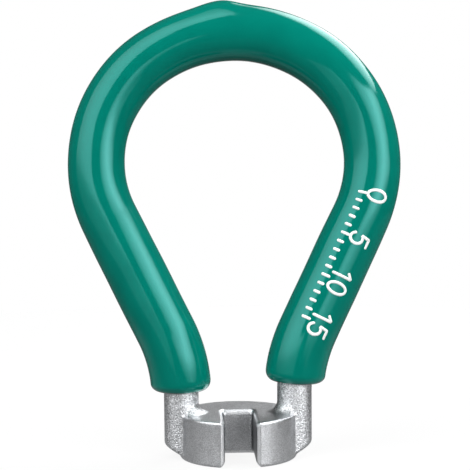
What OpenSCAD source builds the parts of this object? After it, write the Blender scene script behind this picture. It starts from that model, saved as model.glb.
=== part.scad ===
// Spoke wrench with a looped handle, for turning the nipples of a wheel.
// One steel casting holds the slotted head, two legs and a round loop, and the loop is dipped in vinyl.
// The origin is the centre of the head's flat underside. +Z runs up along the spoke, +X across the loop.
// The slot opens toward -Y, and the loop leans back toward +Y, so that the spoke passes in front of it.

/* [Head] */
// Diameter of the slotted head
head_d = 12.6; // [11:0.1:15]
// Height of the head along the spoke
head_h = 4.9; // [3.5:0.1:7]
// Chamfer around the head's two rims
rim_chamfer = 0.12; // [0.05:0.01:0.25]

/* [Slot] */
// Width across the flats of the nipple that the slot grips
nipple_flats = 3.3; // [2.8:0.05:4]
// Play between the nipple's flats and the slot's walls, both sides together
slot_play = 0.05; // [0.02:0.01:0.15]
// How far the slot's back wall lies behind the head's axis
slot_back = 1.15; // [0.5:0.05:2]
// Radius in the slot's two back corners
slot_corner_r = 0.4; // [0.1:0.05:0.8]
// Chamfer along the slot's edges on the head's two faces
slot_chamfer = 0.25; // [0.1:0.05:0.4]
// Chamfer on the front corners of the two jaws
jaw_chamfer = 0.45; // [0.2:0.05:0.7]

/* [Legs] */
// Diameter of the legs and of the rod inside the grip
rod_d = 3.75; // [3:0.05:4.5]
// How far the axes of the legs lie inside the head's rim
leg_inset = 0.15; // [0:0.05:0.6]
// Straight height of the legs above the head
leg_rise = 2.15; // [1.5:0.05:5]
// Radius of the fillet between a leg and the head's top face
leg_fillet = 1.2; // [0.5:0.05:1.6]
// How far inside the head's rim the bevel under the legs starts
bevel_inset = 0.6; // [0.35:0.05:1.2]
// Angle of the bevel under the legs
bevel_angle = 32; // [22:1:45]

/* [Loop] */
// Lean of the loop, away from the spoke
lean = 10; // [6:0.5:16]
// Spread of each straight leg from the loop's middle line
spread = 26; // [20:0.5:30]
// Radius of the bend at the foot of each leg, at the rod's axis
foot_r = 14.3; // [9:0.1:18]
// Radius of the loop's two shoulders, at the rod's axis
shoulder_r = 14; // [12:0.1:16]
// Radius of the loop's top arc, at the rod's axis
top_r = 16; // [13:0.1:19]
// Half of the angle that the top arc covers
top_half = 32; // [25:1:60]

/* [Grip] */
// Thickness of the vinyl around the rod
coat_t = 1.28; // [0.6:0.01:2]
// Bond line between the rod and the vinyl
bond_gap = 0.02; // [0.01:0.01:0.05]
// Height of bare leg between the head and the grip, at the middle of the loop
bare_leg = 2.85; // [2:0.05:5]
// Tilt of the line down to which the loop was dipped
dip_tilt = 3.6; // [0:0.1:6]
// Rounding of the grip's two ends
lip_r = 1.0; // [0.3:0.05:1.2]
// Height of the dried drip above the grip's crown
drip_h = 0.5; // [0.2:0.05:1]
// Length of the drip along the rod
drip_l = 7; // [4:0.5:12]

/* [Hidden] */
$fn = 96;

// Straight segments in each small rounding of the head
arc_steps = 12;
// Flat sides around the rod's loop and around the grip
sides = 20;
// Steps along a foot bend, a shoulder, half of the top arc, and the rounding of a grip's end
foot_steps = 4;
shoulder_steps = 9;
rod_top_steps = 4;
grip_top_steps = 12;
lip_steps = 5;
// How far a cutting shape runs past the face that it cuts
overcut = 1;
// How far the fillet's ends are sunk, so that they cross the surfaces that they join
fillet_sink = 0.03;
// How far the loop's rod is rooted in the legs, and how much slimmer it is there
root_depth = 0.6;
root_step = 0.02;
// Largest share of the vinyl's thickness that the rounding of its ends may take
lip_share = 0.9;

steel_colour = "silver";
vinyl_colour = [0, 0.48, 0.41];

head_r = head_d / 2;
rod_r = rod_d / 2;
grip_r = rod_r + coat_t;
lip = min(lip_r, lip_share * coat_t);
slot_w = nipple_flats + slot_play;
jaw_front = sqrt(pow(head_r, 2) - pow(slot_w / 2, 2));
leg_x = head_r - leg_inset;
leg_top = head_h + leg_rise;
bevel_r = head_r - bevel_inset;
leg_reach = leg_x + rod_r + overcut;

// The foot bend turns a leg outward by the spread and back by the lean in one bend
foot_turn = atan2(cos(spread) * sin(lean), sin(spread));
foot_angle = acos(cos(spread) * cos(lean));
foot_out = foot_r * (1 - cos(foot_angle));

// The loop's leaning plane starts where the foot bends end
plane_y = foot_out * sin(foot_turn);
plane_z = leg_top + foot_r * sin(foot_angle);
foot_u = leg_x + foot_out * cos(foot_turn);

// Arc centres in that plane, where each arc meets the next with no corner
shoulder_u = (top_r - shoulder_r) * sin(top_half);
straight_l = (shoulder_u + shoulder_r * cos(spread) - foot_u) / sin(spread);
shoulder_w = straight_l * cos(spread) + shoulder_r * sin(spread);
top_w = shoulder_w - (top_r - shoulder_r) * cos(top_half);

// The rod's axis under the drip, which dried where the tilted loop hung lowest
drip_foot = plane_point(-top_r * sin(dip_tilt), top_w + top_r * cos(dip_tilt));

function arc_points(centre, r, from, to) =
    [for (i = [0 : arc_steps]) let (a = from + (to - from) * i / arc_steps) centre + r * [cos(a), sin(a)]];

// A point or a direction in the loop's leaning plane
function plane_dir(u, w) = [u, w * sin(lean), w * cos(lean)];
function plane_point(u, w) = [0, plane_y, plane_z] + plane_dir(u, w);

// A station is a point on the rod's axis, the axis's direction there and the radius of the ring around it.
// This one lies a length s along the right leg, counted from the top of its straight part.
function foot_station(s, r) =
    let (a = max(0, s) / foot_r * 180 / PI, out = foot_r * (1 - cos(a)))
    [
        [leg_x + out * cos(foot_turn), out * sin(foot_turn), leg_top + min(0, s) + foot_r * sin(a)],
        [sin(a) * cos(foot_turn), sin(a) * sin(foot_turn), cos(a)],
        r
    ];

// Stations of the right half of the loop, from a length s along the leg up to the crown
function half_loop(s, r, top_steps) =
    let (bend_s = max(0, s), bend_l = foot_r * foot_angle * PI / 180)
    concat(
        s < 0 ? [foot_station(s, r)] : [],
        [for (i = [0 : foot_steps]) foot_station(bend_s + (bend_l - bend_s) * i / foot_steps, r)],
        [for (i = [0 : shoulder_steps])
            let (a = -spread + (90 - top_half + spread) * i / shoulder_steps)
            [
                plane_point(shoulder_u + shoulder_r * cos(a), shoulder_w + shoulder_r * sin(a)),
                plane_dir(-sin(a), cos(a)),
                r
            ]],
        [for (i = [1 : top_steps])
            let (a = 90 - top_half + top_half * i / top_steps)
            [
                plane_point(top_r * cos(a), top_w + top_r * sin(a)),
                plane_dir(-sin(a), cos(a)),
                r
            ]]
    );

// The same station on the left half
function to_left(station) =
    [
        [-station[0][0], station[0][1], station[0][2]],
        [-station[1][0], station[1][1], station[1][2]],
        station[2]
    ];

// The whole run, up the left half and down the right half, which share the crown
function whole_loop(left, right) =
    concat(
        [for (station = left) to_left(station)],
        [for (i = [len(right) - 2 : -1 : 0]) [right[i][0], -right[i][1], right[i][2]]]
    );

// How far the drip stands out over a point of the rod's axis
function drip_rise(point) =
    let (x = norm(point - drip_foot) / (drip_l / 2))
    x < 1 ? drip_h * (1 + cos(180 * x)) / 2 : 0;

// A ring of points around a station. The drip stands out on the side away from the loop's middle.
function ring(station, drip) =
    let (
        across = cross([0, cos(lean), -sin(lean)], station[1]),
        inward = across / norm(across),
        sideways = cross(station[1], inward),
        rise = drip ? drip_rise(station[0]) : 0
    )
    [for (i = [0 : sides - 1])
        let (a = 360 * i / sides, r = station[2] + rise * pow(max(0, -cos(a)), 2))
        station[0] + r * (cos(a) * inward + sin(a) * sideways)];

// Triangles between two rings of points that start at the given numbers
function band(first, second) =
    [for (i = [0 : sides - 1])
        let (j = (i + 1) % sides)
        each [[first + i, second + i, second + j], [first + i, second + j, first + j]]];

// Height of the dip line on the right leg (side 1) or the left leg (side -1)
function dip_z(side) = head_h + bare_leg + side * leg_x * tan(dip_tilt);

// Length along a leg at which the grip's end starts, counted as above
function grip_start(side) =
    let (rise = dip_z(side) - leg_top)
    rise < 0 ? rise : foot_r * asin(rise / foot_r) * PI / 180;

// Stations of the right half of the grip's skin, with its rounded end
function half_grip(side) =
    let (s = grip_start(side))
    concat(
        [for (i = [0 : lip_steps - 1])
            let (q = 90 * i / lip_steps)
            foot_station(s + lip * (1 - cos(q)), grip_r - lip + lip * sin(q))],
        half_loop(s + lip, grip_r, grip_top_steps)
    );

// A solid rod through the stations, closed by a flat face at each end
module swept_rod(stations) {
    last = (len(stations) - 1) * sides;
    polyhedron(
        points = [for (station = stations) each ring(station, false)],
        faces = concat(
            [[for (i = [0 : sides - 1]) i]],
            [for (k = [0 : len(stations) - 2]) each band(k * sides, (k + 1) * sides)],
            [[for (i = [sides - 1 : -1 : 0]) last + i]]
        )
    );
}

// A tube whose outer skin runs through one list of stations and whose bore runs back through the other
module swept_tube(skin, bore) {
    count = len(skin) + len(bore);
    polyhedron(
        points = concat(
            [for (station = skin) each ring(station, true)],
            [for (i = [len(bore) - 1 : -1 : 0]) each ring(bore[i], false)]
        ),
        faces = [for (k = [0 : count - 1]) each band(k * sides, (k + 1) % count * sides)]
    );
}

// The head before its slot is cut
module head_disc()
    rotate_extrude()
        polygon([
            [0, 0],
            [head_r - rim_chamfer, 0],
            [head_r, rim_chamfer],
            [head_r, head_h - rim_chamfer],
            [head_r - rim_chamfer, head_h],
            [0, head_h]
        ]);

// A leg from inside the head up to the foot bend, bevelled underneath where it stands out of the head
module leg(side)
    intersection() {
        translate([side * leg_x, 0, rim_chamfer])
            cylinder(r = rod_r, h = leg_top - rim_chamfer);
        rotate_extrude()
            polygon([
                [0, 0],
                [bevel_r, 0],
                [leg_reach, (leg_reach - bevel_r) * tan(bevel_angle)],
                [leg_reach, leg_top + overcut],
                [0, leg_top + overcut]
            ]);
    }

// The cast fillet that spreads from a leg onto the head's top face
module leg_flare(side) {
    corner = rod_r + leg_fillet - fillet_sink;
    crown = head_h + leg_fillet - fillet_sink;
    intersection() {
        translate([side * leg_x, 0, 0])
            rotate_extrude()
                polygon(concat(
                    [[0, head_h / 2], [corner, head_h / 2]],
                    arc_points([corner, crown], leg_fillet, 270, 180),
                    [[0, crown]]
                ));
        cylinder(r = head_r - rim_chamfer, h = crown + overcut);
    }
}

// A square bar that cuts a 45 degree chamfer along an edge through its middle
module chamfer_bar(size, length)
    rotate(45)
        cube([size * sqrt(2), size * sqrt(2), length], center = true);

// What the slot takes away: its straight cut, its edges' chamfers and the corners of the jaws
module nipple_slot() {
    back_x = slot_w / 2 - slot_corner_r;
    back_y = slot_back - slot_corner_r;
    translate([0, 0, -overcut])
        linear_extrude(head_h + 2 * overcut)
            polygon(concat(
                [[-slot_w / 2, -head_r - overcut], [slot_w / 2, -head_r - overcut]],
                arc_points([back_x, back_y], slot_corner_r, 0, 90),
                arc_points([-back_x, back_y], slot_corner_r, 90, 180)
            ));
    for (z = [0, head_h]) {
        translate([0, slot_back, z])
            rotate([0, 90, 0])
                chamfer_bar(slot_chamfer, slot_w);
        for (side = [-1, 1])
            translate([side * slot_w / 2, slot_back - head_r, z])
                rotate([90, 0, 0])
                    chamfer_bar(slot_chamfer, 2 * head_r);
    }
    for (side = [-1, 1])
        translate([side * slot_w / 2, -jaw_front, head_h / 2])
            chamfer_bar(jaw_chamfer, head_h + 2 * overcut);
}

// The steel casting: head, legs and the rod that the grip hides
module wrench_casting()
    color(steel_colour) {
        difference() {
            union() {
                head_disc();
                for (side = [-1, 1]) {
                    leg(side);
                    leg_flare(side);
                }
            }
            nipple_slot();
        }
        half = half_loop(-root_depth, rod_r - root_step, rod_top_steps);
        swept_rod(whole_loop(half, half));
    }

// The dipped vinyl grip, one skin from end to end around the rod
module vinyl_grip() {
    bore_r = (rod_r + bond_gap) / cos(180 / sides);
    color(vinyl_colour)
        swept_tube(
            whole_loop(half_grip(-1), half_grip(1)),
            whole_loop(
                half_loop(grip_start(-1), bore_r, rod_top_steps),
                half_loop(grip_start(1), bore_r, rod_top_steps)
            )
        );
}

wrench_casting();
vinyl_grip();
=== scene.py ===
# Spoke wrench: a slotted steel head on two legs, and a finger loop dipped in glossy vinyl.
# Sizes are in millimetres up to where a mesh is made, and +X, +Y, +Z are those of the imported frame.
import math

import bpy
import numpy as np
from mathutils import Matrix, Vector


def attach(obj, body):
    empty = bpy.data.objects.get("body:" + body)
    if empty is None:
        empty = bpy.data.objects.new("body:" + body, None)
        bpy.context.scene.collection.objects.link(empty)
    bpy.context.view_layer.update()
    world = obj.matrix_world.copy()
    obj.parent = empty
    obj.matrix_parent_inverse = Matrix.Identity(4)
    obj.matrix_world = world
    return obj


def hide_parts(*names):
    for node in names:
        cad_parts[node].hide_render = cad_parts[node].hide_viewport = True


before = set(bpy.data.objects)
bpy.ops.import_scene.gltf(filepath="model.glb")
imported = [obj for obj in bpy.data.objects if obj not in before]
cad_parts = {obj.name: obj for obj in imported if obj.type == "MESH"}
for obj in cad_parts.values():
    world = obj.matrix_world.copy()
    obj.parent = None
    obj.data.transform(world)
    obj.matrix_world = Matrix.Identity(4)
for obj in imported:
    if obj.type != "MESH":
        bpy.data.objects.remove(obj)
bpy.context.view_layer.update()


# Steel casting
# The head, the legs and the rod through the loop are one piece of cast steel.
# It was blasted and plated after casting, so that its skin is grainy and its edges are soft.
# The slot for the nipple was cut afterwards, and its edges were broken.
METRES_PER_MM = 0.001
head_r = 6.3
head_h = 4.9
rim_round = 0.3
slot_half = 1.675
slot_back = 1.15
slot_corner_r = 0.4
slot_chamfer = 0.32
jaw_chamfer = 0.45
jaw_chamfer_reach = 1.6
edge_round = 0.09
slot_edge_round = 0.2
rod_r = 1.875
leg_x = 6.15
leg_top = 7.05
leg_crease = 0.35
leg_fillet = 1.2
bevel_r = 5.7
bevel_angle = math.radians(32)
leg_sole_z = 0.36
lean = math.radians(10)
spread = math.radians(26)
foot_r = 14.3
shoulder_r = 14.0
top_r = 16.0
top_half = math.radians(32)

# One bend at the foot of each leg turns it outward by the spread and back by the lean
foot_turn = math.atan2(math.cos(spread) * math.sin(lean), math.sin(spread))
foot_angle = math.acos(math.cos(spread) * math.cos(lean))
foot_u = leg_x + foot_r * (1 - math.cos(foot_angle)) * math.cos(foot_turn)
shoulder_u = (top_r - shoulder_r) * math.sin(top_half)

# Lengths along the rod's axis, from a foot bend up to the crown
foot_run = foot_r * foot_angle
straight_run = (shoulder_u + shoulder_r * math.cos(spread) - foot_u) / math.sin(spread)
shoulder_run = shoulder_r * (spread + math.pi / 2 - top_half)
top_run = top_r * top_half
loop_run = 2 * (foot_run + straight_run + shoulder_run + top_run)


def rod_axis(run):
    """Points and directions of the rod's axis, at lengths counted from the left foot over the crown."""
    run = np.asarray(run, float)
    is_left = run < loop_run / 2
    half = np.where(is_left, run, loop_run - run)
    bend = np.clip(half, 0, foot_run) / foot_r
    beyond = half - foot_run
    straight = np.clip(beyond, 0, straight_run)
    shoulder = np.clip(beyond - straight_run, 0, shoulder_run) / shoulder_r
    top = np.clip(beyond - straight_run - shoulder_run, 0, top_run) / top_r
    on_shoulder = spread - shoulder
    heading = on_shoulder - top
    out = foot_r * (1 - np.cos(bend))
    u = straight * math.sin(spread)
    u = u + shoulder_r * (np.cos(on_shoulder) - math.cos(spread))
    u = u + top_r * (np.cos(heading) - np.cos(on_shoulder))
    w = straight * math.cos(spread)
    w = w + shoulder_r * (math.sin(spread) - np.sin(on_shoulder))
    w = w + top_r * (np.sin(on_shoulder) - np.sin(heading))
    side = np.where(is_left, -1.0, 1.0)
    point = np.stack(
        [
            side * (leg_x + out * math.cos(foot_turn) + u),
            out * math.sin(foot_turn) + w * math.sin(lean),
            leg_top + np.minimum(half, 0) + foot_r * np.sin(bend) + w * math.cos(lean),
        ],
        axis=-1,
    )
    in_bend = beyond < 0
    onward = np.stack(
        [
            side * np.where(in_bend, np.sin(bend) * math.cos(foot_turn), np.sin(heading)),
            np.where(in_bend, np.sin(bend) * math.sin(foot_turn), np.cos(heading) * math.sin(lean)),
            np.where(in_bend, np.cos(bend), np.cos(heading) * math.cos(lean)),
        ],
        axis=-1,
    )
    return point, onward * -side[..., None]


def around_rod(run, angle, radius):
    """Points around the rod's axis: angle 0 faces the loop's middle, and a quarter turn the back."""
    point, onward = rod_axis(run)
    inward = np.cross(np.array([0, math.cos(lean), -math.sin(lean)]), onward)
    inward = inward / np.linalg.norm(inward, axis=-1, keepdims=True)
    sideways = np.cross(onward, inward)
    outward = np.cos(angle)[..., None] * inward + np.sin(angle)[..., None] * sideways
    return point + radius[..., None] * outward


def ring_faces(ring_count, sides, is_closed):
    """Four-sided faces between rings of points that follow each other."""
    ring = np.arange(ring_count if is_closed else ring_count - 1)[:, None]
    step = np.arange(sides)[None, :]
    after = (ring + 1) % ring_count
    beside = (step + 1) % sides
    corners = [ring * sides + step, ring * sides + beside, after * sides + beside, after * sides + step]
    return np.stack(corners, axis=-1).reshape(-1, 4)


def mesh_object(name, points, faces):
    """A smooth-shaded mesh object from points in millimetres."""
    mesh = bpy.data.meshes.new(name)
    corners = [[int(corner) for corner in face] for face in faces]
    mesh.from_pydata((np.asarray(points) * METRES_PER_MM).tolist(), [], corners)
    mesh.shade_smooth()
    made = bpy.data.objects.new(name, mesh)
    bpy.context.scene.collection.objects.link(made)
    return made


def soft_join(first, second, reach):
    """The union of two distances, with the corner between them filled."""
    near = np.maximum(reach - np.abs(first - second), 0) / reach
    return np.minimum(first, second) - near * near * reach / 4


def soft_cut(first, second, reach):
    """The part of the first that the second shares, with the edge between them rounded."""
    return -soft_join(-first, -second, reach)


def disc_distance(p):
    """Distance from the round head before its slot is cut, less than zero inside."""
    from_axis = np.hypot(p[..., 0], p[..., 1])
    return soft_cut(from_axis - head_r, np.abs(p[..., 2] - head_h / 2) - head_h / 2, rim_round)


def leg_distance(p):
    """Distance from the nearer leg, which is bevelled underneath and bends at its foot."""
    x, y, z = np.abs(p[..., 0]), p[..., 1], p[..., 2]
    out = (x - leg_x) * math.cos(foot_turn) + y * math.sin(foot_turn)
    aside = y * math.cos(foot_turn) - (x - leg_x) * math.sin(foot_turn)
    rise = z - leg_top
    out = np.where(rise > 0, foot_r - np.hypot(foot_r - out, rise), out)
    bevel = (np.hypot(x, y) - bevel_r) * math.sin(bevel_angle) - z * math.cos(bevel_angle)
    leg = soft_cut(np.hypot(out, aside) - rod_r, bevel, leg_crease)
    return np.maximum(leg, np.maximum(z - leg_hidden_z, leg_sole_z - z))


def flare_distance(p):
    """Distance from the cast fillet between a leg and the head's top face."""
    x, y, z = np.abs(p[..., 0]), p[..., 1], p[..., 2]
    over_leg = np.hypot(x - leg_x, y) - rod_r - leg_fillet
    over_head = z - head_h - leg_fillet
    hollow = leg_fillet - np.hypot(np.minimum(over_leg, 0), np.minimum(over_head, 0))
    flare = np.maximum(np.maximum(hollow, over_leg), np.maximum(over_head, head_h / 2 - z))
    return soft_cut(flare, np.hypot(x, y) - head_r + rim_round / 2, rim_round)


def slot_distance(p):
    """Distance from the open slot, which has round back corners."""
    over_side = np.abs(p[..., 0]) - slot_half + slot_corner_r
    over_back = p[..., 1] - slot_back + slot_corner_r
    outside = np.hypot(np.maximum(over_side, 0), np.maximum(over_back, 0))
    return outside + np.minimum(np.maximum(over_side, over_back), 0) - slot_corner_r


def uncut_distance(p):
    """Distance from the head with its legs and fillets, before the slot is cut."""
    return np.minimum(soft_join(disc_distance(p), leg_distance(p), leg_crease), flare_distance(p))


def chamfer_width(p):
    """Width of the chamfer along the slot's edges, which is wider at the front of the jaws."""
    to_front = np.clip(-p[..., 1] - head_r + jaw_chamfer_reach, 0, 1)
    return slot_chamfer + (jaw_chamfer - slot_chamfer) * to_front


def casting_distance(p):
    """Distance from the whole head with its legs, fillets and slot."""
    uncut = uncut_distance(p)
    beside_slot = -slot_distance(p)
    chamfer = (uncut + beside_slot + chamfer_width(p)) * math.sqrt(0.5)
    return soft_cut(soft_cut(uncut, chamfer, edge_round), beside_slot, slot_edge_round)


def skin_over(distance, low, high, cell):
    """A closed mesh where a distance is zero, with one point in each cell of a grid that it crosses."""
    counts = np.ceil((np.array(high) - low) / cell).astype(int) + 1
    axes = [low[i] + cell * np.arange(counts[i]) for i in range(3)]
    is_inside = distance(np.stack(np.meshgrid(*axes, indexing="ij"), axis=-1)) < 0
    cells = counts - 1
    corners_inside = np.zeros(cells, int)
    for i, j, k in np.ndindex(2, 2, 2):
        corners_inside += is_inside[i : i + cells[0], j : j + cells[1], k : k + cells[2]]
    is_crossed = (corners_inside > 0) & (corners_inside < 8)
    number = np.full(cells, -1)
    number[is_crossed] = np.arange(np.count_nonzero(is_crossed))
    points = np.array(low) + cell * (np.argwhere(is_crossed) + 0.5)
    faces = []
    for axis in range(3):
        first = np.take(is_inside, np.arange(cells[axis]), axis)
        second = np.take(is_inside, np.arange(1, counts[axis]), axis)
        edge = np.argwhere(first != second)
        beside = np.eye(3, dtype=int)[(axis + 1) % 3]
        above = np.eye(3, dtype=int)[(axis + 2) % 3]
        around = [edge, edge - beside, edge - beside - above, edge - above]
        quad = np.stack([number[tuple(cell_index.T)] for cell_index in around], axis=-1)
        leaves = first[tuple(edge.T)]
        faces.append(np.where(leaves[:, None], quad, quad[:, ::-1]))
    probes = skin_probe * cell * np.eye(3)
    for _ in range(skin_settle_steps):
        off = distance(points)
        rise = [distance(points + probe) - distance(points - probe) for probe in probes]
        slope = np.stack(rise, axis=-1) / (2 * skin_probe * cell)
        steepness = np.maximum((slope * slope).sum(axis=-1), skin_least_slope**2)
        move = (off / steepness)[:, None] * slope
        points = points - np.clip(move, -cell / 2, cell / 2)
    return points, np.concatenate(faces)


# The grip hides the legs from this height up, and the rod goes on from inside them
leg_hidden_z = 9.2
leg_bend_room = 0.6
reach_x = leg_x + rod_r + leg_bend_room

# The skin's grid, and how its points settle on the surface. The probe is a share of a cell.
skin_cell = 0.08
skin_probe = 0.1
skin_least_slope = 0.5
skin_settle_steps = 5
margin = 4 * skin_cell
head_points, head_faces = skin_over(
    casting_distance,
    np.array([-reach_x, -head_r, 0]) - margin,
    np.array([reach_x, head_r, leg_hidden_z]) + margin,
    skin_cell,
)
casting = mesh_object("steel_casting", head_points, head_faces)

# How far each point is cast skin, painted shade on the slot's walls, or a slot edge made lighter as bare
# worn steel and a painted highlight.
# The painted shade counts fully along the slot's sides and in its back corners, and little in the middle of
# its back.
cast_skin_fade = 0.3
wall_chamfer_share = 0.75
wall_fade = 0.1
wall_reach = 0.05
wall_middle_shade = 0.15
edge_light_start = 0.03
edge_light_fade = 0.08
under_skin = -uncut_distance(head_points)
off_slot = slot_distance(head_points)
under_chamfer = under_skin - wall_chamfer_share * chamfer_width(head_points)
in_corner = np.clip((np.abs(head_points[:, 0]) - slot_half) / slot_corner_r + 1, 0, 1)
wall = np.clip(under_chamfer / wall_fade, 0, 1) * (off_slot < wall_reach)
skins = {
    "cast_skin": np.clip(disc_distance(head_points) / cast_skin_fade, 0, 1),
    # Painted shade: the slot's walls are darkened, fully along its sides and in its corners
    "painted_slot_shade": wall * (wall_middle_shade + (1 - wall_middle_shade) * in_corner),
    # Lighter slot edges: bare worn steel, and a painted highlight
    "worn_edge_highlight": np.clip((np.minimum(under_skin, off_slot) - edge_light_start) / edge_light_fade, 0, 1),
}
for name, shares in skins.items():
    casting.data.attributes.new(name, "FLOAT", "POINT").data.foreach_set("value", shares)

# The rod goes through the loop and is joined to the legs where the grip hides them
rod_sides = 32
rod_rings = 130
rod_slack = 0.02
rod_end_run = 0.6
rod_runs = np.linspace(rod_end_run, loop_run - rod_end_run, rod_rings)
rod_angles = np.linspace(0, 2 * math.pi, rod_sides, endpoint=False)
rod_points = around_rod(
    np.repeat(rod_runs, rod_sides),
    np.tile(rod_angles, len(rod_runs)),
    np.full(len(rod_runs) * rod_sides, rod_r - rod_slack),
)
rod_ends = [list(range(rod_sides))[::-1], list(range(len(rod_points) - rod_sides, len(rod_points)))]
rod = mesh_object("loop_rod", rod_points, ring_faces(len(rod_runs), rod_sides, False).tolist() + rod_ends)
union = casting.modifiers.new("rod", "BOOLEAN")
union.operation = "UNION"
union.solver = "EXACT"
union.object = rod
whole = bpy.data.meshes.new_from_object(casting.evaluated_get(bpy.context.evaluated_depsgraph_get()))
casting.modifiers.clear()
casting.data = whole
bpy.data.objects.remove(rod)


def mottle_group():
    """Uneven tone: a soft noise of a given fineness, spread between two values."""
    group = bpy.data.node_groups.new("mottle", "ShaderNodeTree")
    for name, value in (("Spots per metre", 1000.0), ("Low", 0.0), ("High", 1.0)):
        socket = group.interface.new_socket(name, in_out="INPUT", socket_type="NodeSocketFloat")
        socket.default_value = value
    group.interface.new_socket("Value", in_out="OUTPUT", socket_type="NodeSocketFloat")
    given = group.nodes.new("NodeGroupInput")
    result = group.nodes.new("NodeGroupOutput")
    place = group.nodes.new("ShaderNodeTexCoord")
    noise = group.nodes.new("ShaderNodeTexNoise")
    noise.inputs["Detail"].default_value = 2.0
    spread_out = group.nodes.new("ShaderNodeMapRange")
    spread_out.inputs["From Min"].default_value = 0.3
    spread_out.inputs["From Max"].default_value = 0.7
    link = group.links.new
    link(place.outputs["Object"], noise.inputs["Vector"])
    link(given.outputs["Spots per metre"], noise.inputs["Scale"])
    link(noise.outputs["Fac"], spread_out.inputs["Value"])
    link(given.outputs["Low"], spread_out.inputs["To Min"])
    link(given.outputs["High"], spread_out.inputs["To Max"])
    link(spread_out.outputs["Result"], result.inputs["Value"])
    return group


mottle = mottle_group()


def add_mottle(nodes, spots_per_metre, low, high):
    """The mottle effect placed in a material, as the socket that gives its value."""
    node = nodes.new("ShaderNodeGroup")
    node.node_tree = mottle
    node.inputs["Spots per metre"].default_value = spots_per_metre
    node.inputs["Low"].default_value = low
    node.inputs["High"].default_value = high
    return node.outputs["Value"]


def add_tone(nodes, links, factor, dark, light):
    """A colour between two tones, chosen by a factor from 0 to 1."""
    tone = nodes.new("ShaderNodeMix")
    tone.data_type = "RGBA"
    tone.inputs["A"].default_value = (*dark, 1)
    tone.inputs["B"].default_value = (*light, 1)
    links.new(factor, tone.inputs["Factor"])
    return tone.outputs["Result"]


def add_math(nodes, links, operation, first, second):
    """What an operation makes of two values, each of them a socket or a number."""
    node = nodes.new("ShaderNodeMath")
    node.operation = operation
    for socket, value in zip(node.inputs, (first, second)):
        if isinstance(value, (int, float)):
            socket.default_value = value
        else:
            links.new(value, socket)
    return node.outputs["Value"]


def add_step(nodes, links, value, start, end, low, high):
    """A smooth step from low to high, while a socket's value goes from start to end."""
    step = nodes.new("ShaderNodeMapRange")
    step.interpolation_type = "SMOOTHSTEP"
    for name, number in (("From Min", start), ("From Max", end), ("To Min", low), ("To Max", high)):
        step.inputs[name].default_value = number
    links.new(value, step.inputs["Value"])
    return step.outputs["Result"]


def new_material(name):
    """A material with its nodes, links and shader."""
    material = bpy.data.materials.new(name)
    material.use_nodes = True
    tree = material.node_tree
    return material, tree.nodes, tree.links, tree.nodes["Principled BSDF"]


dark_steel = (0.24, 0.247, 0.258)
light_steel = (0.93, 0.945, 0.97)
# How much lighter the slot's edges are, partly as bare steel and partly as a painted highlight
edge_highlight_gain = 0.42
# How much painted shade darkens the slot's walls
slot_shade_depth = 0.6
grain_depth = 0.04
grain_strength = 0.9
steel, nodes, links, shader = new_material("blasted cast steel")
shader.inputs["Metallic"].default_value = 1.0
skin_share = {}
for name in skins:
    skin = nodes.new("ShaderNodeAttribute")
    skin.attribute_name = name
    skin_share[name] = skin.outputs["Fac"]
coarse_spots = add_mottle(nodes, spots_per_metre=7000, low=-0.5, high=0.5)
fine_spots = add_mottle(nodes, spots_per_metre=8500, low=-0.22, high=0.22)
broad_spots = add_mottle(nodes, spots_per_metre=900, low=0.49, high=0.60)
coarse = add_math(nodes, links, "MULTIPLY", coarse_spots, skin_share["cast_skin"])
grain = add_math(nodes, links, "ADD", coarse, fine_spots)
# Painted highlight, partly bare worn steel: the slot's edges get a lighter base colour
edge_highlight = add_math(nodes, links, "MULTIPLY", skin_share["worn_edge_highlight"], edge_highlight_gain)
# Painted shade darkens the base colour on the slot's walls
painted_shade = add_math(nodes, links, "MULTIPLY", skin_share["painted_slot_shade"], slot_shade_depth)
uneven = add_math(nodes, links, "ADD", grain, broad_spots)
uneven = add_math(nodes, links, "ADD", uneven, edge_highlight)
uneven = add_math(nodes, links, "SUBTRACT", uneven, painted_shade)
links.new(add_tone(nodes, links, uneven, dark_steel, light_steel), shader.inputs["Base Color"])
satin = add_mottle(nodes, spots_per_metre=2500, low=0.29, high=0.37)
links.new(satin, shader.inputs["Roughness"])
bump = nodes.new("ShaderNodeBump")
bump.inputs["Distance"].default_value = grain_depth * METRES_PER_MM
bump.inputs["Strength"].default_value = grain_strength
links.new(grain, bump.inputs["Height"])
links.new(bump.outputs["Normal"], shader.inputs["Normal"])
casting.data.materials.clear()
casting.data.materials.append(steel)
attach(casting, "root")
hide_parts("wrench_casting")


# Vinyl grip
# The loop was heated and dipped head-up into liquid vinyl, as far as a slightly tilted line on the legs.
# The glossy skin is thickest on the legs, ends in two round lips, and dried into a drip at the crown.
leg_skin_r = 3.26
thigh_skin_r = 3.235
loop_skin_r = 3.10
bond_gap = 0.02
lip_r = 1.0
lip_rings = 10
left_lip_run = 0.313
right_lip_run = loop_run - 1.088
thinning_start_run = foot_run + 0.7 * straight_run
thinning_end_run = foot_run + straight_run + 0.35 * shoulder_run
drip_run = loop_run / 2 - top_r * math.radians(3.6)
drip_h = 0.5
drip_rising_l = 2.2
drip_falling_l = 1.65
drip_narrowness = 3
wave_h = 0.008
wave_turn_per_mm = (0.9, 0.53)
wave_twist = (2.0, 2.3)
wave_offset = 1.0
grip_sides = 80
grip_rings = 340
bore_rings = 110


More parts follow.
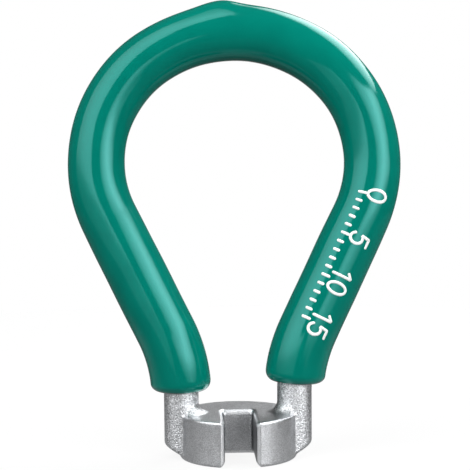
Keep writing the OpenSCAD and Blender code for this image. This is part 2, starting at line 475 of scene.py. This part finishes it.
def vinyl_radius(run, angle):
    """Radius of the vinyl's skin, with its slow change along the loop, the drip and slight waves."""
    half = np.minimum(run, loop_run - run)
    to_thigh = np.clip(half / thinning_start_run, 0, 1)
    to_loop = np.clip((half - thinning_start_run) / (thinning_end_run - thinning_start_run), 0, 1)
    to_loop = to_loop * to_loop * (3 - 2 * to_loop)
    radius = leg_skin_r + (thigh_skin_r - leg_skin_r) * to_thigh + (loop_skin_r - thigh_skin_r) * to_loop
    from_drip = run - drip_run
    drip_l = np.where(from_drip < 0, drip_rising_l, drip_falling_l)
    drip = drip_h * np.exp(-((from_drip / drip_l) ** 2)) * np.maximum(0, -np.cos(angle)) ** drip_narrowness
    short_wave = np.sin(wave_turn_per_mm[0] * run + wave_twist[0] * np.cos(angle))
    long_wave = np.sin(wave_turn_per_mm[1] * run + wave_twist[1] * np.sin(angle) + wave_offset)
    return radius + drip + wave_h * (short_wave + long_wave)


lip_turn = np.linspace(0, math.pi / 2, lip_rings, endpoint=False)
lip_rise = lip_r * (1 - np.cos(lip_turn))
lip_loss = lip_r * (1 - np.sin(lip_turn))
skin_runs = np.concatenate(
    [
        left_lip_run + lip_rise,
        np.linspace(left_lip_run + lip_r, right_lip_run - lip_r, grip_rings),
        (right_lip_run - lip_rise)[::-1],
    ]
)
skin_loss = np.concatenate([lip_loss, np.zeros(grip_rings), lip_loss[::-1]])
grip_angles = np.linspace(0, 2 * math.pi, grip_sides, endpoint=False)
run_grid, angle_grid = np.meshgrid(skin_runs, grip_angles, indexing="ij")
skin_points = around_rod(run_grid, angle_grid, vinyl_radius(run_grid, angle_grid) - skin_loss[:, None])
bore_runs = np.linspace(right_lip_run, left_lip_run, bore_rings)
run_grid, angle_grid = np.meshgrid(bore_runs, grip_angles, indexing="ij")
bore_points = around_rod(run_grid, angle_grid, np.full(run_grid.shape, rod_r + bond_gap))
grip = mesh_object(
    "vinyl_grip_skin",
    np.concatenate([skin_points.reshape(-1, 3), bore_points.reshape(-1, 3)]),
    ring_faces(len(skin_runs) + bore_rings, grip_sides, True),
)

deep_green = (0.0, 0.148, 0.112)
pale_green = (0.0, 0.162, 0.122)
ripple_depth = 0.02
ripple_strength = 0.12
vinyl, nodes, links, shader = new_material("glossy dipped vinyl")
clouds = add_mottle(nodes, spots_per_metre=350, low=0, high=1)
links.new(add_tone(nodes, links, clouds, deep_green, pale_green), shader.inputs["Base Color"])
gloss = add_mottle(nodes, spots_per_metre=700, low=0.07, high=0.11)
links.new(gloss, shader.inputs["Roughness"])
shader.inputs["IOR"].default_value = 1.53
shader.inputs["Specular IOR Level"].default_value = 0.45
shader.inputs["Specular Tint"].default_value = (0.34, 1.0, 1.0, 1)
bump = nodes.new("ShaderNodeBump")
bump.inputs["Distance"].default_value = ripple_depth * METRES_PER_MM
bump.inputs["Strength"].default_value = ripple_strength
ripples = add_mottle(nodes, spots_per_metre=900, low=0, high=1)
links.new(ripples, bump.inputs["Height"])
links.new(bump.outputs["Normal"], shader.inputs["Normal"])
grip.data.materials.append(vinyl)
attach(grip, "root")
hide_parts("vinyl_grip")


# Scale print
# A millimetre scale with plain numbers, pad-printed in white ink on the front of the right leg.
# It is a thin film that follows the vinyl's round skin and reads down the leg.
scale_start_run = loop_run - 22.9
scale_turn = math.radians(-4)
scale_l = 15
tick_l = 0.5
long_tick_l = 0.75
long_tick_step = 5
digit_h = 2.15
digit_w = 1.18
digit_pitch = 1.56
digit_lift = 0.25
stroke_w = 0.32
stroke_step = 0.08
stroke_end_points = 6
bow_points = 40
ink_t = 0.02
ink_sink = 0.012
scale_low = -1.55
stroke_points = []
stroke_faces = []


def add_stroke(line):
    """A stroke with round ends along points: their lengths down the leg, and outward from the scale."""
    line = np.array(line, float)
    lengths = np.concatenate([[0], np.cumsum(np.linalg.norm(np.diff(line, axis=0), axis=1))])
    count = max(2, int(lengths[-1] / stroke_step) + 1)
    even = np.linspace(0, lengths[-1], count)
    line = np.stack([np.interp(even, lengths, line[:, i]) for i in range(2)], axis=-1)
    along = np.gradient(line, axis=0)
    along = along / np.linalg.norm(along, axis=1, keepdims=True)
    across = np.stack([-along[:, 1], along[:, 0]], axis=-1)
    cap = np.linspace(0, math.pi / 2, stroke_end_points)
    middles = [line[0] - along[0] * math.cos(a) * stroke_w / 2 for a in cap[:-1]]
    halves = [across[0] * math.sin(a) * stroke_w / 2 for a in cap[:-1]]
    middles += list(line)
    halves += list(across * stroke_w / 2)
    middles += [line[-1] + along[-1] * math.cos(a) * stroke_w / 2 for a in cap[-2::-1]]
    halves += [across[-1] * math.sin(a) * stroke_w / 2 for a in cap[-2::-1]]
    first = len(stroke_points)
    for middle, half in zip(middles, halves):
        stroke_points.extend([middle + half, middle, middle - half])
    for i in range(len(middles) - 1):
        a = first + 3 * i
        stroke_faces.append([a, a + 1, a + 4, a + 3])
        stroke_faces.append([a + 1, a + 2, a + 5, a + 4])


def bow(centre, width, height, start, end):
    """Points on part of an ellipse, by angles in degrees."""
    turn = np.radians(np.linspace(start, end, bow_points))
    return [(centre[0] + width / 2 * math.cos(a), centre[1] + height / 2 * math.sin(a)) for a in turn]


# The strokes of each digit, in shares of its width and height
digit_strokes = {
    "0": [bow((0.5, 0.5), 1, 1, 90, 450)],
    "1": [[(0.2, 0.78), (0.62, 1), (0.62, 0)]],
    "5": [[(0.92, 1), (0.18, 1), (0.08, 0.56)] + bow((0.46, 0.33), 1, 0.66, 128, -150)],
}


def add_number(text, middle):
    """A plain number whose middle lies at a length down the scale."""
    start = middle - ((len(text) - 1) * digit_pitch + digit_w) / 2
    for i, digit in enumerate(text):
        left = start + i * digit_pitch
        low = scale_low + long_tick_l + digit_lift
        for stroke in digit_strokes[digit]:
            add_stroke([(left + x * digit_w, low + y * digit_h) for x, y in stroke])


for mark in range(scale_l + 1):
    is_long = mark % long_tick_step == 0
    add_stroke([(mark, scale_low), (mark, scale_low + (long_tick_l if is_long else tick_l))])
    if is_long:
        add_number(str(mark), mark)

flat = np.array(stroke_points)
front_angle = 1.5 * math.pi
ink_run = scale_start_run + flat[:, 0]
ink_angle = front_angle + scale_turn - flat[:, 1] / thigh_skin_r
ink_points = around_rod(ink_run, ink_angle, vinyl_radius(ink_run, ink_angle) + ink_t)
ink = mesh_object("scale_print", ink_points, stroke_faces)
film = ink.modifiers.new("film", "SOLIDIFY")
film.thickness = (ink_t + ink_sink) * METRES_PER_MM
film.offset = -1

thin_ink = (0.80, 0.82, 0.81)
full_ink = (0.88, 0.90, 0.89)
white_ink, nodes, links, shader = new_material("white printing ink")
cover = add_mottle(nodes, spots_per_metre=3000, low=0, high=1)
links.new(add_tone(nodes, links, cover, thin_ink, full_ink), shader.inputs["Base Color"])
dullness = add_mottle(nodes, spots_per_metre=4000, low=0.35, high=0.5)
links.new(dullness, shader.inputs["Roughness"])
ink.data.materials.append(white_ink)
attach(ink, "root")


# Floor and backdrop
# The wrench stands on a wide round table, whose paper reflects little light, in front of a backdrop.
# Both are white to the camera. Mirrored, they are dark but for a pale patch of the table around the head
# and a white spot of the backdrop behind it.
table_r = 115
table_edge_r = 2
table_t = 6
table_sides = 128
table_edge_points = 7
edge_turn = np.linspace(0, math.pi / 2, table_edge_points)
edge_in = table_edge_r * (1 - np.sin(edge_turn))
edge_down = table_edge_r * (1 - np.cos(edge_turn))
profile = list(zip(table_r - edge_in, -edge_down)) + [(table_r, -table_t)]
turns = np.linspace(0, 2 * math.pi, table_sides, endpoint=False)
table_points = [(r * math.cos(a), r * math.sin(a), z) for r, z in profile for a in turns]
table_top = list(range(table_sides))
table_bottom = list(range(len(table_points) - table_sides, len(table_points)))[::-1]
table_side = ring_faces(len(profile), table_sides, False)[:, ::-1].tolist()
table = mesh_object("studio_table", table_points, table_side + [table_top, table_bottom])
paper_tone = 0.08
paper_white = 0.88

# The patch around the head, in metres. It fades from its edge to a size half as large again.
patch_y = 0.0043
patch_half_x = 0.031
patch_half_y = 0.0132
patch_squareness = 4
patch_fade_size = 1.5
patch_mirrored_white = 0.34


def add_whiteness(nodes, links, mirrored_white):
    """How white a surface looks: fully to the camera, and by a given share in mirrors and through glass."""
    path = nodes.new("ShaderNodeLightPath").outputs
    mirrored = add_math(nodes, links, "ADD", path["Is Glossy Ray"], path["Is Transmission Ray"])
    mirrored = add_math(nodes, links, "MULTIPLY", mirrored, mirrored_white)
    return add_math(nodes, links, "MAXIMUM", path["Is Camera Ray"], mirrored)


paper, nodes, links, shader = new_material("studio paper")
shader.inputs["Base Color"].default_value = (paper_tone, paper_tone, paper_tone, 1)
shader.inputs["Roughness"].default_value = 1.0
shader.inputs["Specular IOR Level"].default_value = 0.0
shader.inputs["Emission Color"].default_value = (1, 1, 1, 1)
place = nodes.new("ShaderNodeTexCoord")
centred = nodes.new("ShaderNodeMapping")
centred.vector_type = "TEXTURE"
centred.inputs["Location"].default_value = (0, patch_y, 0)
centred.inputs["Scale"].default_value = (patch_half_x, patch_half_y, 1)
links.new(place.outputs["Object"], centred.inputs["Vector"])
apart = nodes.new("ShaderNodeSeparateXYZ")
links.new(centred.outputs["Vector"], apart.inputs["Vector"])
powers = []
for direction in ("X", "Y"):
    off_middle = add_math(nodes, links, "ABSOLUTE", apart.outputs[direction], 0)
    powers.append(add_math(nodes, links, "POWER", off_middle, patch_squareness))
from_patch = add_math(nodes, links, "POWER", add_math(nodes, links, "ADD", *powers), 1 / patch_squareness)
patch_white = add_step(nodes, links, from_patch, 1.0, patch_fade_size, patch_mirrored_white, 0)
whiteness = add_whiteness(nodes, links, patch_white)
links.new(add_math(nodes, links, "MULTIPLY", whiteness, paper_white), shader.inputs["Emission Strength"])
table.data.materials.append(paper)

spot_way = Vector((0.045, 0.993, -0.11)).normalized()
spot_edge = math.radians(19)
spot_core = math.radians(11)
backdrop_least = 0.06
backdrop = bpy.data.worlds.new("studio backdrop")
backdrop.use_nodes = True
nodes, links = backdrop.node_tree.nodes, backdrop.node_tree.links
way = nodes.new("ShaderNodeTexCoord")
toward_spot = nodes.new("ShaderNodeVectorMath")
toward_spot.operation = "DOT_PRODUCT"
toward_spot.inputs[1].default_value = spot_way
links.new(way.outputs["Generated"], toward_spot.inputs[0])
nearness = toward_spot.outputs["Value"]
spot_white = add_step(nodes, links, nearness, math.cos(spot_edge), math.cos(spot_core), 0, 1)
whiteness = add_whiteness(nodes, links, spot_white)
light = add_math(nodes, links, "MAXIMUM", whiteness, backdrop_least)
links.new(light, nodes["Background"].inputs["Strength"])
nodes["Background"].inputs["Color"].default_value = (1, 1, 1, 1)
bpy.context.scene.world = backdrop


# Studio lights
# Two large softboxes left and right of the camera, and one high behind, draw the long bands on the vinyl.
# They are cloth on curved frames. The two at the sides fade toward their lower rows, which hang below
# the table's level, and the left one reaches over the wrench.

# The point that the panels curve around, and how far from it they stand, in metres
wrench_middle = Vector((0, 0.002, 0.026))
softbox_distance = 0.45


def add_softbox(name, glows, rows):
    """A curved glowing panel around the wrench. The glows run from its left end to its right end.
    Each row has an elevation, azimuths of its ends from the camera's side, and its share of the glow."""
    points = []
    strengths = []
    for elevation, left, right, share in rows:
        rise = math.radians(elevation)
        for azimuth, glow in zip(np.radians(np.linspace(left, right, len(glows))), glows):
            level = Vector((math.sin(azimuth), -math.cos(azimuth), 0))
            way = level * math.cos(rise) + Vector((0, 0, math.sin(rise)))
            points.append((wrench_middle + way * softbox_distance) / METRES_PER_MM)
            strengths.append(share * glow)
    across = len(glows)
    corners = [row * across + i for row in range(len(rows) - 1) for i in range(across - 1)]
    panel = mesh_object(name, points, [(i, i + 1, i + across + 1, i + across) for i in corners])
    panel.data.attributes.new("glow", "FLOAT", "POINT").data.foreach_set("value", strengths)
    cloth = bpy.data.materials.new(name)
    cloth.use_nodes = True
    nodes, links = cloth.node_tree.nodes, cloth.node_tree.links
    nodes.remove(nodes["Principled BSDF"])
    emission = nodes.new("ShaderNodeEmission")
    strength = nodes.new("ShaderNodeAttribute")
    strength.attribute_name = "glow"
    links.new(strength.outputs["Fac"], emission.inputs["Strength"])
    links.new(emission.outputs["Emission"], nodes["Material Output"].inputs["Surface"])
    panel.data.materials.append(cloth)
    panel.visible_camera = False


add_softbox(
    "left_softbox",
    (2.0, 2.5, 3.2, 3.8, 4.0, 4.0, 3.5),
    (
        (-20, -58, -20, 0.13),
        (-14, -72, -16, 0.16),
        (-6, -82, -14, 0.17),
        (2, -86, -10, 0.18),
        (7, -87, -8, 0.35),
        (10, -88, -7, 0.66),
        (12, -88, -8, 0.8),
        (13.5, -88, -18, 0.85),
        (17, -88, -22, 0.95),
        (24, -90, -24, 1.0),
        (36, -97, -25, 1.0),
        (48, -98, -21, 1.0),
        (56, -99, -13, 1.0),
        (63, -100, -1, 1.0),
        (70, -103, 12, 1.0),
        (80, -125, 36, 0.55),
        (88, -140, 60, 0.35),
    ),
)
add_softbox(
    "right_softbox",
    (1.3, 4.0, 5.9, 8.2, 7.4, 4.9, 2.1),
    (
        (-14, 33, 42, 0.1),
        (-10, 28, 48, 0.14),
        (-5, 21, 60, 0.2),
        (0, 9, 66, 0.36),
        (6, 5, 72, 0.85),
        (10, 8, 72, 1.0),
        (14, 13, 71, 1.0),
        (21, 16, 76, 1.0),
        (25, 18, 82, 1.0),
        (29, 23, 87, 1.0),
        (32, 27, 89, 1.0),
        (34, 31, 90, 0.9),
        (35.5, 34, 90, 0.05),
    ),
)
add_softbox(
    "rim_softbox",
    (3.0, 6.0, 7.0, 7.0, 6.0, 2.5),
    (
        (20, 148, 165, 0.7),
        (25.5, 136, 166, 0.9),
        (27.5, 122, 166, 1.0),
        (29, 101, 166, 1.0),
        (31, 92, 167, 1.0),
        (34, 84, 168, 1.0),
        (44, 81, 170, 1.0),
        (54, 92, 162, 0.95),
        (61, 106, 142, 0.4),
    ),
)


# Camera
# It stands at the photograph's viewing angle, a little above the head and left of its middle.
# Its lens is given by a focal length and a picture width in pixels.
# Its places are in metres, and its roll is in radians.
camera_azimuth = math.radians(-2.58)
camera_elevation = math.radians(6.31)
camera_roll = 0.0076
camera_distance = 0.220
focal_px = 2024.07
frame_px = 470
aim_point = Vector((0, 0.002, 0.024))
aim_shift = 0.0000946
back = Vector(
    (
        math.sin(camera_azimuth) * math.cos(camera_elevation),
        -math.cos(camera_azimuth) * math.cos(camera_elevation),
        math.sin(camera_elevation),
    )
)
level_right = Vector((math.cos(camera_azimuth), math.sin(camera_azimuth), 0))
level_up = back.cross(level_right)
right = level_right * math.cos(camera_roll) - level_up * math.sin(camera_roll)
up = level_up * math.cos(camera_roll) + level_right * math.sin(camera_roll)
aim = aim_point - right * aim_shift
lens = bpy.data.cameras.new("camera")
lens.sensor_width = 36
lens.lens = lens.sensor_width * focal_px / frame_px
lens.clip_start = 0.01
lens.clip_end = 20
camera = bpy.data.objects.new("camera", lens)
turn = Matrix((right, up, back)).transposed().to_4x4()
camera.matrix_world = Matrix.Translation(aim + back * camera_distance) @ turn
bpy.context.scene.collection.objects.link(camera)
bpy.context.scene.camera = camera
bpy.context.scene.view_settings.view_transform = "Standard"
